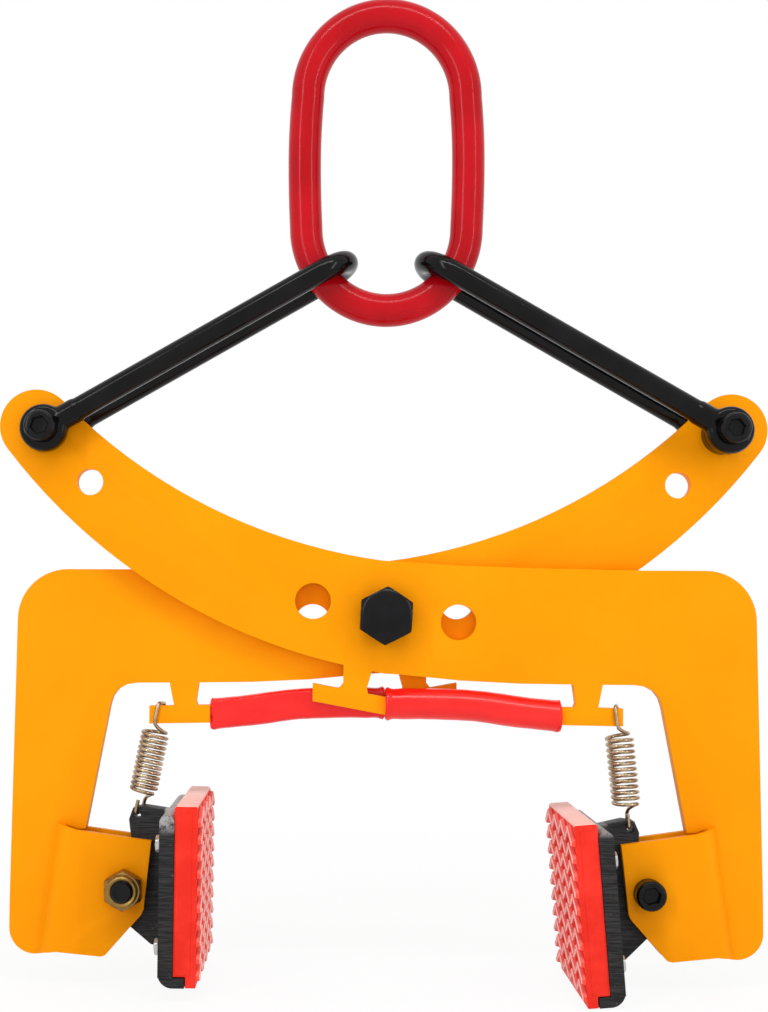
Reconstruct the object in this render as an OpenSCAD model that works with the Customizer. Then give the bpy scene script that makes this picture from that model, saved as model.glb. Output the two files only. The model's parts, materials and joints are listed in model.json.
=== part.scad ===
// Lifting clamp with two crossed arms, two rubber-faced jaws and a chainless shackle hanger.
// Units are millimetres. X runs across the jaws, Z is up, the origin is the bearing point of the
// hanging link. Shapes are drawn about the main pivot and lowered to the origin at the end.

/* [Hanging link] */
// Bar diameter of the oval link
link_bar = 17.5; // [14:0.5:20]
// Inside width of the oval link
link_inside_width = 70; // [60:1:80]
// Inside length of the oval link
link_inside_length = 140; // [120:1:160]
// Height of the link's lower arc centre above the main pivot
link_low_centre = 207; // [200:1:215]

/* [Shackles] */
// Bar diameter of the shackles
shackle_bar = 12; // [10:0.5:14]
// Distance between the centres of the two legs
shackle_pitch = 34; // [32:1:36]
// Clearance between shackle bow and link bar
bow_clearance = 1.0; // [0.8:0.1:1.5]
// Outside diameter of the shackle eyes
eye_diameter = 25; // [22:1:28]
// Shank diameter of the shackle bolts
shackle_bolt = 10; // [10, 12]
// Shank diameter of the jaw bolts
jaw_bolt = 12; // [10, 12]

/* [Arms] */
// Thickness of the arm plates
plate_t = 8; // [6:0.5:10]
// Space between the two arm plates
plate_gap = 1.6; // [1.4:0.1:2]
// Diameter of the main pivot hole and its two spare holes
pivot_hole = 19; // [18:0.5:20]
// Diameter of the shackle holes in the arms
shackle_hole = 14; // [13:0.5:15]
// Height of the carrying bar under each arm
bar_height = 9.4; // [8:0.2:11]
// Height of the grip sleeves
grip_height = 16.6; // [15:0.2:18]

/* [Jaws] */
// Width of the jaws across the arms
jaw_width = 92; // [86:1:100]
// Thickness of the jaw carrier plates
carrier_t = 7.6; // [6.6:0.2:8.6]
// Thickness of the rubber pads without ribs
pad_t = 11.9; // [10.9:0.2:13.9]
// Height of the zigzag ribs on the rubber pads
rib_height = 2.5; // [2:0.1:3]
// Zigzag ribs up each pad
rib_count = 10; // [8:1:12]
// Space between the cheeks that hold each jaw
cheek_gap = 13; // [12.6:0.1:14]
// Thickness of the cheeks
cheek_t = 4; // [3:0.5:5]
// Lean of the right jaw at rest, in degrees
right_lean = 4.6; // [0:0.2:6]
// Lean of the left jaw at rest, in degrees
left_lean = 0.6; // [0:0.2:6]
// How much higher the right pad sits on its bolt than the middle of its travel
right_lift = -1.5; // [-3:0.5:4]
// The same for the left pad
left_lift = 3.2; // [-3:0.2:4]

/* [Springs] */
// Outside diameter of the jaw springs
spring_od = 15.4; // [13:0.2:17]
// Wire diameter of the jaw springs
spring_wire = 2; // [1.6:0.1:2.4]
// Turns of each jaw spring
spring_turns = 12; // [10:1:14]

/* [Hidden] */
$fn = 72;
eps = 0.01;
crown_z = link_low_centre + link_inside_length - link_inside_width / 2;
link_r = link_inside_width / 2 + link_bar / 2;
link_high_centre = link_low_centre + link_inside_length - link_inside_width;
arm_end = [-179.8, 97.8];
lobe = [-185.2, 99.8];
lobe_r = 19.4;
bow_reach = link_inside_width / 2 - shackle_bar / 2 - bow_clearance;
bow_from_link = 41.7;
bow = [-bow_reach * cos(bow_from_link), link_low_centre - bow_reach * sin(bow_from_link)];
shackle_run = norm(bow - arm_end);
shackle_angle = atan2(bow[1] - arm_end[1], bow[0] - arm_end[0]);
leg_y = shackle_pitch / 2;
bow_r = shackle_pitch / 2;
neck_r = 8.2;
neck_run = 34;
fit = 0.05;
front_y = -plate_gap / 2 - plate_t / 2;
jaw_pin = [138.3, -145.4];
spare_hole = [-156.8, 70.4];
bar_line = [[-38.5, -40.6], [0, -47.8], [24, -47.6], [48, -48.5], [72, -50.6], [93, -52.9], [126, -53.5]];
sleeve_centre = [12.9, -561.8];
sleeve_r = 515;
inner_y = shackle_pitch / 2 - shackle_bar / 2;
outer_y = shackle_pitch / 2 + shackle_bar / 2;
carrier_back = 21.8;
pad_back = carrier_back + carrier_t;
pad_face = pad_back + pad_t;
ear_eye = [-5.8, 35.2];
bar_hook = [122, -47.5];
cheek_root = [[175.3, -110.9], [185.4, -181.6]];
root_angle = 8.13;
bend_run = 7.9;
screw_rows = [-29.6, 23.8];
pad_low = -47.6;
pad_high = 45.5;
lip_top = -42.4;

function turned(p, angle) = [p[0] * cos(angle) - p[1] * sin(angle), p[0] * sin(angle) + p[1] * cos(angle)];
function ear_hole(lean, lift) = jaw_pin + turned(ear_eye + [0, lift], lean);

orange = [0.95, 0.56, 0.05];
red = [0.82, 0.10, 0.10];
dark = [0.10, 0.10, 0.11];
steel = [0.62, 0.62, 0.60];
brass = [0.72, 0.60, 0.25];

// Helpers: lower the whole part to the origin, and stand a flat outline up in the X-Z plane
module low() {
  translate([0, 0, -crown_z])
    children();
}

module upright(y0, y1) {
  translate([0, y1, 0])
    rotate([90, 0, 0])
      linear_extrude(height = y1 - y0)
        children();
}

module pin_y(x, z, r, y0, y1) {
  translate([x, y1, z])
    rotate([90, 0, 0])
      cylinder(r = r, h = y1 - y0);
}

// Hexagon along Y with its corners turned back at both ends, as on bolt heads and nuts
module hex_y(x, z, flats, y0, y1, turn) {
  height = y1 - y0;
  reach = flats / cos(30) / 2 + 0.4;
  face = 0.47 * flats;
  slope = 0.58 * (reach - face);
  translate([x, y1, z])
    rotate([90, 0, 0])
      intersection() {
        rotate([0, 0, turn])
          cylinder(d = flats / cos(30), h = height, $fn = 6);
        rotate_extrude()
          polygon([[0, 0], [face, 0], [reach, slope], [reach, height - slope], [face, height], [0, height]]);
      }
}

// Oval hanging link of round bar
module master_link() {
  color(red)
    low() {
      translate([0, 0, link_high_centre])
        rotate([90, 0, 0])
          rotate_extrude(angle = 180)
            translate([link_r, 0])
              circle(d = link_bar);
      translate([0, 0, link_low_centre])
        rotate([90, 180, 0])
          rotate_extrude(angle = 180)
            translate([link_r, 0])
              circle(d = link_bar);
      for (s = [-1, 1])
        translate([s * link_r, 0, link_low_centre])
          cylinder(d = link_bar, h = link_high_centre - link_low_centre);
    }
}

// Eye at the end of each shackle leg with its corners turned off, and the neck that tapers into
// the bar
module shackle_eye() {
  eye_r = eye_diameter / 2;
  half = shackle_bar / 2;
  rotate([90, 0, 0])
    rotate_extrude()
      polygon([
        [0, -half], [eye_r - 3, -half], [eye_r - 0.9, -half + 0.9], [eye_r, -half + 3],
        [eye_r, half - 3], [eye_r - 0.9, half - 0.9], [eye_r - 3, half], [0, half]
      ]);
  intersection() {
    rotate([0, 90, 0])
      cylinder(r1 = neck_r, r2 = half, h = neck_run);
    translate([0, -half, -eye_r])
      cube([neck_run, shackle_bar, eye_diameter]);
  }
}

// Shackle drawn along +X from its bolt, then turned to reach the link
module shackle_shape() {
  difference() {
    union() {
      translate([shackle_run - bow_r, 0, 0])
        rotate([0, 0, -90])
          rotate_extrude(angle = 180)
            translate([bow_r, 0])
              circle(d = shackle_bar);
      for (s = [-1, 1])
        translate([0, s * leg_y, 0]) {
          shackle_eye();
          rotate([0, 90, 0])
            cylinder(d = shackle_bar, h = shackle_run - bow_r);
        }
    }
    pin_y(0, 0, shackle_bolt / 2 + fit, -outer_y - 1, outer_y + 1);
  }
}

module left_shackle() {
  color(dark)
    low()
      translate([arm_end[0], 0, arm_end[1]])
        rotate([0, -shackle_angle, 0])
          shackle_shape();
}

module right_shackle() {
  color(dark)
    low()
      rotate([0, 0, 180])
        translate([arm_end[0], 0, arm_end[1]])
          rotate([0, -shackle_angle, 0])
            shackle_shape();
}

// Socket head screw along Y with its head at the front
module socket_screw(d, x, z, y_head, y_end) {
  head_r = 8;
  head_h = 10;
  socket_flats = 8;
  translate([x, y_head, z])
    rotate([90, 0, 0])
      difference() {
        rotate_extrude()
          polygon([
            [0, y_head - y_end], [d / 2 - 1, y_head - y_end], [d / 2, y_head - y_end + 1], [d / 2, 0],
            [head_r, 0], [head_r, head_h - 1], [head_r - 1, head_h], [0, head_h]
          ]);
        translate([0, 0, head_h / 2])
          rotate([0, 0, 12])
            cylinder(d = socket_flats / cos(30), h = head_h, $fn = 6);
      }
}

// Hexagon lock nut behind the plate at y0, with the round collar that holds its insert
module collar_nut(d, x, z, y0) {
  flats = d == 12 ? 19 : 17;
  difference() {
    union() {
      hex_y(x, z, flats, y0, y0 + 0.8 * d, 30);
      pin_y(x, z, flats * 0.44, y0 + 1, y0 + d);
    }
    pin_y(x, z, d / 2 + fit, y0 - 1, y0 + d + 1);
  }
}

module left_shackle_bolt() {
  color(dark)
    low()
      socket_screw(shackle_bolt, arm_end[0], arm_end[1], -outer_y - 0.1, outer_y + 13);
}

module right_shackle_bolt() {
  color(dark)
    low()
      socket_screw(shackle_bolt, -arm_end[0], arm_end[1], -outer_y - 0.1, outer_y + 13);
}

module left_shackle_nut() {
  color(brass)
    low()
      collar_nut(shackle_bolt, arm_end[0], arm_end[1], outer_y + 0.1);
}

module right_shackle_nut() {
  color(brass)
    low()
      collar_nut(shackle_bolt, -arm_end[0], arm_end[1], outer_y + 0.1);
}

// Shouldered spacer whose nose carries the arm, and the thin ring on the arm's other side
module spacer_long(x, z, side) {
  difference() {
    union() {
      if (side > 0)
        pin_y(x, z, 11, -plate_gap / 2 + 0.3, inner_y - 0.1);
      else
        pin_y(x, z, 11, -inner_y + 0.1, plate_gap / 2 - 0.3);
      if (side > 0)
        pin_y(x, z, shackle_hole / 2 - 0.05, -plate_gap / 2 - plate_t - 0.2, 0);
      else
        pin_y(x, z, shackle_hole / 2 - 0.05, 0, plate_gap / 2 + plate_t + 0.2);
    }
    pin_y(x, z, shackle_bolt / 2 + fit, -inner_y - 1, inner_y + 1);
  }
}

module spacer_short(x, z, side) {
  difference() {
    if (side > 0)
      pin_y(x, z, 11, -inner_y + 0.1, -plate_gap / 2 - plate_t - 0.3);
    else
      pin_y(x, z, 11, plate_gap / 2 + plate_t + 0.3, inner_y - 0.1);
    pin_y(x, z, shackle_bolt / 2 + fit, -inner_y - 1, inner_y + 1);
  }
}

module left_spacer_long() {
  color(steel)
    low()
      spacer_long(arm_end[0], arm_end[1], 1);
}

module left_spacer_short() {
  color(steel)
    low()
      spacer_short(arm_end[0], arm_end[1], 1);
}

module right_spacer_long() {
  color(steel)
    low()
      spacer_long(-arm_end[0], arm_end[1], -1);
}

module right_spacer_short() {
  color(steel)
    low()
      spacer_short(-arm_end[0], arm_end[1], -1);
}

// Arm plate: curved upper arm, web across the pivot, leg to the jaw, carrying bar below
module upper_arm_outline() {
  intersection() {
    difference() {
      translate([45.0, 275.5])
        circle(r = 309.0, $fn = 240);
      translate([37.6, 321.5])
        circle(r = 294.9, $fn = 240);
    }
    polygon([[-205.1, 84.6], [-165.3, 115], [6, 60], [6, -27], [-23, -27], [-130, 0]]);
  }
}

module web_outline() {
  polygon([
    [-1, 29.2], [39.5, 26.7], [81.9, 25.4], [135, 24.4], [169.6, 24.4], [196.6, -2.6],
    [200.4, -150.9], [200.6, -167.6], [186.6, -181.6], [171.5, -176], [158.9, -109.5],
    [147, -48], [145.5, -43.5], [142.5, -39.6], [138, -37.2], [132, -36.3], [100.5, -36.1],
    [71.3, -35.7], [40, -34.2], [23.4, -32.5], [9.3, -31.2], [-1, -30.6], [-22.2, -26.4], [-22.2, 10]
  ]);
}

module bar_outline(height) {
  polygon(concat([for (p = bar_line) p + [0, height / 2]],
    [for (i = [len(bar_line) - 1:-1:0]) bar_line[i] - [0, height / 2]]));
}

module arm_slab() {
  rotate([90, 0, 0])
    linear_extrude(height = plate_t)
      children();
}

module arm_plate() {
  difference() {
    union() {
      arm_slab()
        upper_arm_outline();
      arm_slab()
        web_outline();
      arm_slab()
        bar_outline(bar_height);
      arm_slab()
        polygon([[-22.2, -25], [-22.2, -35.8], [-24.6, -38.6], [-24, -41], [-9, -43], [-9.7, -38.3], [-6.8, -28]]);
      arm_slab()
        polygon([[99.3, -34], [101, -46], [100, -49], [114, -50], [112.8, -48.2], [115.6, -34]]);
      pin_y(lobe[0], lobe[1], lobe_r, -plate_t, 0);
      pin_y(169.6, -2.6, 27, -plate_t, 0);
      pin_y(186.6, -167.6, 14, -plate_t, 0);
    }
    upright(-plate_t - 1, 1)
      polygon([[140, -114.2], [163.9, -114.6], cheek_root[0], cheek_root[1], [185, -190], [140, -190]]);
    pin_y(0, 0, pivot_hole / 2, -plate_t - 1, 1);
    pin_y(-38.5, 7.7, pivot_hole / 2, -plate_t - 1, 1);
    pin_y(38.7, -3.4, pivot_hole / 2, -plate_t - 1, 1);
    pin_y(spare_hole[0], spare_hole[1], shackle_hole / 2, -plate_t - 1, 1);
    pin_y(arm_end[0], arm_end[1], shackle_hole / 2, -plate_t - 1, 1);
  }
}

module front_arm() {
  color(orange)
    low()
      translate([0, -plate_gap / 2, 0])
        arm_plate();
}

module rear_arm() {
  color(orange)
    low()
      rotate([0, 0, 180])
        translate([0, -plate_gap / 2, 0])
          arm_plate();
}

// Each leg splits into two cheeks that bend outward round the jaw, side -1 at the front
module cheek(side) {
  steps = 8;
  gap = 0.02;
  rise = function(i) (1 - cos(180 * i / steps)) / 2;
  inner = [for (i = [0:steps]) [-gap - bend_run * i / steps,
    side * (gap + (cheek_gap / 2 - gap) * rise(i))]];
  outer = [for (i = [steps:-1:0]) [-gap - bend_run * i / steps + 1.6 * sin(180 * i / steps),
    side * (cheek_t + cheek_gap / 2 * rise(i))]];
  translate([0, front_y, 0])
    difference() {
      intersection() {
        translate([cheek_root[0][0], 0, cheek_root[0][1]])
          rotate([0, -root_angle, 0])
            translate([0, 0, -90])
              linear_extrude(height = 110)
                polygon(concat(inner, [[-70, side * cheek_gap / 2], [-70, side * (cheek_gap / 2 + cheek_t)]], outer));
        upright(-20, 20)
          polygon([
            [124.1, -120.2], [128.1, -156.9], [129.4, -159.5], [148.4, -181], [151, -181.7], [175, -179.3],
            [181, -180], [187, -182.1], [187, -112], [175.3, -110.92], [163.9, -114.62]
          ]);
      }
      pin_y(jaw_pin[0], jaw_pin[1], jaw_bolt / 2 + 0.25, -20, 20);
    }
}

module front_cheek_outer() {
  color(orange)
    low()
      cheek(-1);
}

module front_cheek_inner() {
  color(orange)
    low()
      cheek(1);
}

module rear_cheek_outer() {
  color(orange)
    low()
      rotate([0, 0, 180])
        cheek(-1);
}

module rear_cheek_inner() {
  color(orange)
    low()
      rotate([0, 0, 180])
        cheek(1);
}

// Rubber grip sleeve in an arc over the carrying bar, flat towards the other arm
module sleeve_sweep(x0, x1) {
  a0 = acos((x1 - sleeve_centre[0]) / sleeve_r);
  a1 = acos((x0 - sleeve_centre[0]) / sleeve_r);
  translate([sleeve_centre[0], 0, sleeve_centre[1]])
    rotate([90, 0, 0])
      rotate([0, 0, a0])
        rotate_extrude(angle = a1 - a0, $fn = 720)
          translate([sleeve_r, 0])
            children();
}

module grip_shape() {
  translate([0, front_y, 0])
    difference() {
      union() {
        sleeve_sweep(0, 93)
          circle(d = grip_height, $fn = 48);
        sleeve_sweep(0, 3)
          circle(d = grip_height + 1.4, $fn = 48);
        sleeve_sweep(91, 93.4)
          circle(d = grip_height + 0.6, $fn = 48);
      }
      translate([-20, plate_t / 2 + 0.6, -80])
        cube([140, 10, 60]);
      sleeve_sweep(-4, 96)
        square([bar_height + 3, plate_t + 0.4], center = true);
    }
}

module front_grip() {
  color(red)
    low()
      grip_shape();
}

module rear_grip() {
  color(red)
    low()
      rotate([0, 0, 180])
        grip_shape();
}

// Main pivot: hexagon bolt from the front, washers, and a lock nut at the back
module pivot_bolt() {
  color(dark)
    low() {
      hex_y(0, 0, 27, -23.9, -12.4, 27);
      pin_y(0, 0, 12.6, -12.5, -12.1);
      pin_y(0, 0, pivot_hole / 2 - 0.05, -12.2, 12.4);
      pin_y(0, 0, 9, 12, 32);
    }
}

module ring_washer(r0, r1, y0, y1) {
  difference() {
    pin_y(0, 0, r1, y0, y1);
    pin_y(0, 0, r0, y0 - 1, y1 + 1);
  }
}

module pivot_washer_front() {
  color(steel)
    low()
      ring_washer(pivot_hole / 2, 13, -12, -9);
}

module pivot_washer_back() {
  color(steel)
    low()
      ring_washer(pivot_hole / 2, 13, 9.1, 12.1);
}

module arm_washer() {
  color(steel)
    low()
      ring_washer(pivot_hole / 2, 21, -0.6, 0.4);
}

module pivot_nut() {
  color(brass)
    low()
      difference() {
        union() {
          hex_y(0, 0, 27, 12.5, 24.5, 5);
          pin_y(0, 0, 12, 24, 28.5);
        }
        pin_y(0, 0, 9.05, 10, 30);
      }
}

// Jaw drawn about its bolt with the face towards -X, for the right jaw
module at_screws(x) {
  for (y = [-30, 30])
    for (z = screw_rows)
      translate([x, y, z])
        rotate([0, 90, 0])
          children();
}

module carrier_plate() {
  half = jaw_width / 2;
  translate([-pad_back, -half, lip_top])
    cube([carrier_t, jaw_width, 79.2]);
  translate([-carrier_back - carrier_t / 2, half, 36.8])
    rotate([90, 0, 0])
      cylinder(d = carrier_t, h = jaw_width);
  intersection() {
    translate([-pad_back, half, pad_low + carrier_t])
      rotate([90, 0, 0])
        cylinder(r = carrier_t, h = jaw_width);
    translate([-pad_back, -half, pad_low])
      cube([carrier_t + 1, jaw_width, carrier_t + 1]);
  }
  translate([-pad_back - 6, -half, pad_low])
    cube([6.5, jaw_width, lip_top - pad_low]);
}

module carrier_shape(lift) {
  difference() {
    union() {
      translate([0, 0, lift]) {
        carrier_plate();
        upright(-6, 6)
          polygon([
            [-carrier_back - 1, 38], [-9, 40], [-3.5, 39], [-1.5, 33], [-4, 14], [8, 10],
            [11.8, 0], [8, -10], [6, -14], [-1.6, -23.2], [-14, -33.5], [-carrier_back - 1, -35]
          ]);
      }
      pin_y(0, 0, 12.5, -6, 6);
    }
    pin_y(0, 0, jaw_bolt / 2 + fit, -10, 10);
    pin_y(ear_eye[0], ear_eye[1] + lift, 1.9, -10, 10);
    translate([0, 0, lift])
      at_screws(-pad_back - 1)
        cylinder(r = 3.1, h = carrier_t + 2);
  }
}

// Zigzag rib across the pad, drawn flat with its points up and down by rib_rise
module zigzag_rib() {
  half = jaw_width / 2;
  rib_rise = 3.4;
  rib_width = 4.2;
  bends = 8;
  line = [for (i = [0:bends]) [-half + jaw_width * i / bends, i % 2 == 0 ? -rib_rise : rib_rise]];
  polygon(concat([for (p = line) p + [0, rib_width / 2]],
    [for (i = [bends:-1:0]) line[i] - [0, rib_width / 2]]));
}

module pad_shape() {
  step = 8.7;
  half = jaw_width / 2;
  back = -pad_back - 0.1;
  difference() {
    union() {
      upright(-half, half)
        polygon([
          [-pad_face, pad_low], [-pad_back - 6.4, pad_low], [-pad_back - 6.4, lip_top + 0.5],
          [back, lip_top + 0.5], [back, pad_high - 1.5], [back - 1.5, pad_high],
          [-pad_face + 1, pad_high], [-pad_face, pad_high - 1]
        ]);
      translate([-pad_face - rib_height, 0, 0])
        rotate([0, 90, 0])
          rotate([0, 0, 90])
            linear_extrude(height = rib_height + eps)
              for (i = [0:rib_count - 1])
                translate([0, pad_high - 6.2 - i * step])
                  zigzag_rib();
    }
    at_screws(-pad_face + 3)
      cylinder(r = 3.05, h = pad_t);
  }
}

module screws_shape() {
  at_screws(-pad_face + 4) {
    cylinder(r = 3, h = pad_face - 4 - carrier_back + 1);
    translate([0, 0, pad_face - 4 - carrier_back + 0.1])
      cylinder(r = 5.5, h = 3.5);
  }
}

module at_right_jaw(lift = 0) {
  translate([jaw_pin[0], front_y, jaw_pin[1]])
    rotate([0, -right_lean, 0])
      translate([0, 0, lift])
        children();
}

module at_left_jaw(lift = 0) {
  translate([-jaw_pin[0], -front_y, jaw_pin[1]])
    rotate([0, left_lean, 0])
      translate([0, 0, lift])
        rotate([0, 0, 180])
          children();
}

module right_carrier() {
  color(dark)
    low()
      at_right_jaw()
        carrier_shape(right_lift);
}

module left_carrier() {
  color(dark)
    low()
      at_left_jaw()
        carrier_shape(left_lift);
}

module right_pad() {
  color(red)
    low()
      at_right_jaw(right_lift)
        pad_shape();
}

module left_pad() {
  color(red)
    low()
      at_left_jaw(left_lift)
        pad_shape();
}

module right_pad_screws() {
  color(steel)
    low()
      at_right_jaw(right_lift)
        screws_shape();
}

module left_pad_screws() {
  color(steel)
    low()
      at_left_jaw(left_lift)
        screws_shape();
}

module right_pad_bolt() {
  color(dark)
    low()
      translate([0, front_y, 0])
        socket_screw(jaw_bolt, jaw_pin[0], jaw_pin[1], -cheek_gap / 2 - cheek_t - 0.1, cheek_gap / 2 + cheek_t + 15);
}

module right_pad_nut() {
  color(brass)
    low()
      translate([0, front_y, 0])
        collar_nut(jaw_bolt, jaw_pin[0], jaw_pin[1], cheek_gap / 2 + cheek_t + 0.1);
}

module left_pad_bolt() {
  color(dark)
    low()
      rotate([0, 0, 180])
        translate([0, front_y, 0])
          socket_screw(jaw_bolt, jaw_pin[0], jaw_pin[1], -cheek_gap / 2 - cheek_t - 0.1, cheek_gap / 2 + cheek_t + 15);
}

module left_pad_nut() {
  color(brass)
    low()
      rotate([0, 0, 180])
        translate([0, front_y, 0])
          collar_nut(jaw_bolt, jaw_pin[0], jaw_pin[1], cheek_gap / 2 + cheek_t + 0.1);
}

// Extension spring: a loop over the bar end, coils drawn as touching rings, a loop through the ear
module spring_loop(half, reach) {
  for (s = [-1, 1])
    translate([0, s * half, 0])
      cylinder(d = spring_wire, h = reach, $fn = 24);
  translate([0, half, 0])
    rotate([90, 0, 0])
      cylinder(d = spring_wire, h = 2 * half, $fn = 24);
  for (s = [-1, 1])
    translate([0, s * half, 0])
      sphere(d = spring_wire, $fn = 24);
}

module spring_coil(r, body) {
  rotate_extrude()
    for (i = [0:spring_turns - 1])
      translate([r, spring_wire / 2 + i * (body - spring_wire) / (spring_turns - 1)])
        circle(d = spring_wire, $fn = 20);
  difference() {
    cylinder(r = r + spring_wire * 0.2, h = body);
    translate([0, 0, -1])
      cylinder(r = r - spring_wire * 0.2, h = body + 2);
  }
}

module spring_shape(lean, lift) {
  bottom = ear_hole(lean, lift);
  run = norm(bar_hook - bottom);
  tilt = atan2(bottom[0] - bar_hook[0], bar_hook[1] - bottom[1]);
  r = (spring_od - spring_wire) / 2;
  translate([bar_hook[0], front_y, bar_hook[1]])
    rotate([0, -tilt, 0]) {
      translate([0, 0, -run + 10.5])
        spring_coil(r, run - 25);
      translate([0, 0, -15.5])
        cylinder(r = r + spring_wire * 0.2, h = 1.6);
      translate([0, 0, -run + 10])
        cylinder(r = r + spring_wire * 0.2, h = 1.6);
      rotate([180, 0, 0])
        spring_loop(plate_t / 2 + spring_wire / 2 + 0.3, 15);
      translate([0, 0, -run])
        spring_loop(6 + spring_wire / 2 + 0.3, 11);
    }
}

module right_spring() {
  color(brass)
    low()
      spring_shape(right_lean, right_lift);
}

module left_spring() {
  color(brass)
    low()
      rotate([0, 0, 180])
        spring_shape(left_lean, left_lift);
}

master_link();
left_shackle();
right_shackle();
left_shackle_bolt();
right_shackle_bolt();
left_shackle_nut();
right_shackle_nut();
left_spacer_long();
left_spacer_short();
right_spacer_long();
right_spacer_short();
front_arm();
rear_arm();
front_cheek_outer();
front_cheek_inner();
rear_cheek_outer();
rear_cheek_inner();
front_grip();
rear_grip();
pivot_bolt();
pivot_washer_front();
pivot_washer_back();
arm_washer();
pivot_nut();
right_carrier();
left_carrier();
right_pad();
left_pad();
right_pad_screws();
left_pad_screws();
right_pad_bolt();
right_pad_nut();
left_pad_bolt();
left_pad_nut();
right_spring();
left_spring();
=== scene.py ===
import json
import math

import bmesh
import bpy
from mathutils import Matrix, Vector


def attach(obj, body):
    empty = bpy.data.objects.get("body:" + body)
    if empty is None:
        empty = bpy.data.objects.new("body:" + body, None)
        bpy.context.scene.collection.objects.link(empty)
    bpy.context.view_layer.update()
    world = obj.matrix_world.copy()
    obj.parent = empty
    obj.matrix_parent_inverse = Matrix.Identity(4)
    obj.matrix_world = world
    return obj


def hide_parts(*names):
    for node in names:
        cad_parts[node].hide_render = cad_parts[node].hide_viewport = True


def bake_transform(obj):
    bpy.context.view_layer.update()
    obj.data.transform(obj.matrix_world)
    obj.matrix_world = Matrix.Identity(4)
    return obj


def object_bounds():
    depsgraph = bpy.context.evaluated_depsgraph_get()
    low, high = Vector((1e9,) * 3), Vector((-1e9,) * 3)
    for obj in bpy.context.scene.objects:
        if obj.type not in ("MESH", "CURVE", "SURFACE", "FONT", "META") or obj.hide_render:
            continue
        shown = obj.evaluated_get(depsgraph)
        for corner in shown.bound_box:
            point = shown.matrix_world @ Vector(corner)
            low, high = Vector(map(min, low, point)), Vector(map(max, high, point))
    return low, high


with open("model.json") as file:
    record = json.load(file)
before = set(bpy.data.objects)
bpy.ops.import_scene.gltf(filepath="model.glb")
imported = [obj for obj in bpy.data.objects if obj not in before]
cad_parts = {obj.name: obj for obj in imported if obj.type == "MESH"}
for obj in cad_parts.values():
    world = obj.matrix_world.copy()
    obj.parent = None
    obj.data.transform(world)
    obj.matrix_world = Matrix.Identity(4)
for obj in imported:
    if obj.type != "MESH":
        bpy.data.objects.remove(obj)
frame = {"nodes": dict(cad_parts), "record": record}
cad_box = [list(corner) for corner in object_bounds()]

# Sizes, in metres, as the part's source has them
MM = 0.001
PIVOT_Z = -312 * MM
LINK_BAR = 17.5 * MM
LINK_WIDTH = 70 * MM
LINK_LENGTH = 140 * MM
LINK_LOW = 207 * MM + PIVOT_Z
PLATE_T = 8 * MM
ARM_Y = -4.8 * MM
ARM_END = Vector((-179.8 * MM, 0, 97.8 * MM + PIVOT_Z))
SHACKLE_BAR = 12 * MM
SHACKLE_Y = 17 * MM
SHACKLE_EYE_R = 12.5 * MM
BOW_ANGLE = math.radians(41.7)
BAR_HEIGHT = 9.4 * MM
SLEEVE_R = 8.3 * MM
SLEEVE_FLAT = 4.55 * MM
JAW_PIN = Vector((138.3, 0, -145.4)) * MM
JAW_WIDTH = 92 * MM
RIGHT_LEAN = math.radians(4.6)
LEFT_LEAN = math.radians(0.6)
RIGHT_LIFT = -1.5 * MM
LEFT_LIFT = 3.2 * MM
CARRIER_BACK = 21.8 * MM
CARRIER_T = 7.6 * MM
PAD_BACK = CARRIER_BACK + CARRIER_T
PAD_FACE = PAD_BACK + 11.9 * MM
PAD_LOW = -47.6 * MM
PAD_HIGH = 45.5 * MM
LIP_TOP = -42.4 * MM
RIB_HEIGHT = 2.5 * MM
RIB_COUNT = 10
RIB_STEP = 8.7 * MM
STUD_LOW = -29.6 * MM
STUD_HIGH = 23.8 * MM
STUD_Y = 30 * MM
CHEEK_GAP = 13 * MM
CHEEK_T = 4 * MM
ROOT_POINT = Vector((175.3 * MM, 0, PIVOT_Z - 110.9 * MM))
ROOT_ANGLE = math.radians(8.13)
EAR_EYE = Vector((-5.8, 0, 35.2)) * MM
EAR_HALF = 6 * MM
BAR_HOOK = {"right": Vector((122.8, 0, -47.5)) * MM, "left": Vector((119.8, 0, -47.4)) * MM}
SPRING_OD = 15.4 * MM
SPRING_WIRE = 2 * MM
SPRING_TURNS = 12
SPRING_TURN_POINTS = 24
PIVOT_FLATS = 27 * MM
PIVOT_WASHER_BORE = 9.5 * MM

# The carrying bar's middle line from the clamp's middle outwards, as x and z in millimetres
BAR_LINE = [(0, -46.9), (24, -46.8), (47.7, -47.8), (71.6, -51.0), (93, -53.2)]
SLEEVE_END = 93.0

# Sizes of what only this script adds
LINK_TAPER_HIGH = 1.6 * MM
LINK_TAPER_LOW = 0.9 * MM
SCREW_HEAD_R = 8 * MM
SCREW_HEAD_HIGH = 10 * MM
SEAT_GAP = 0.1 * MM
SHARP_EDGE = math.radians(32)
HALF_TURN = Matrix.Rotation(math.pi, 4, "Z")

# Camera, fitted to the photograph: distance from the arm plates and the principal point in pixels
IMAGE_W = 768
IMAGE_H = 1012
CAMERA_DISTANCE = 850 * MM
PRINCIPAL_X = 325
PRINCIPAL_Y = 610
PIXEL = 0.535 * MM
PIVOT_PIXEL = (385, 615.5)
ROLL = math.radians(0.2)
SENSOR = 36


# Shader trees

class Wire:
    """A number or colour inside a shader tree, with the usual operators."""

    def __init__(self, shop, socket):
        self.shop = shop
        self.socket = socket

    def __add__(self, other):
        return self.shop.math("ADD", self, other)

    __radd__ = __add__

    def __mul__(self, other):
        return self.shop.math("MULTIPLY", self, other)

    __rmul__ = __mul__

    def __sub__(self, other):
        return self.shop.math("SUBTRACT", self, other)

    def __rsub__(self, other):
        return self.shop.math("SUBTRACT", other, self)


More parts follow.
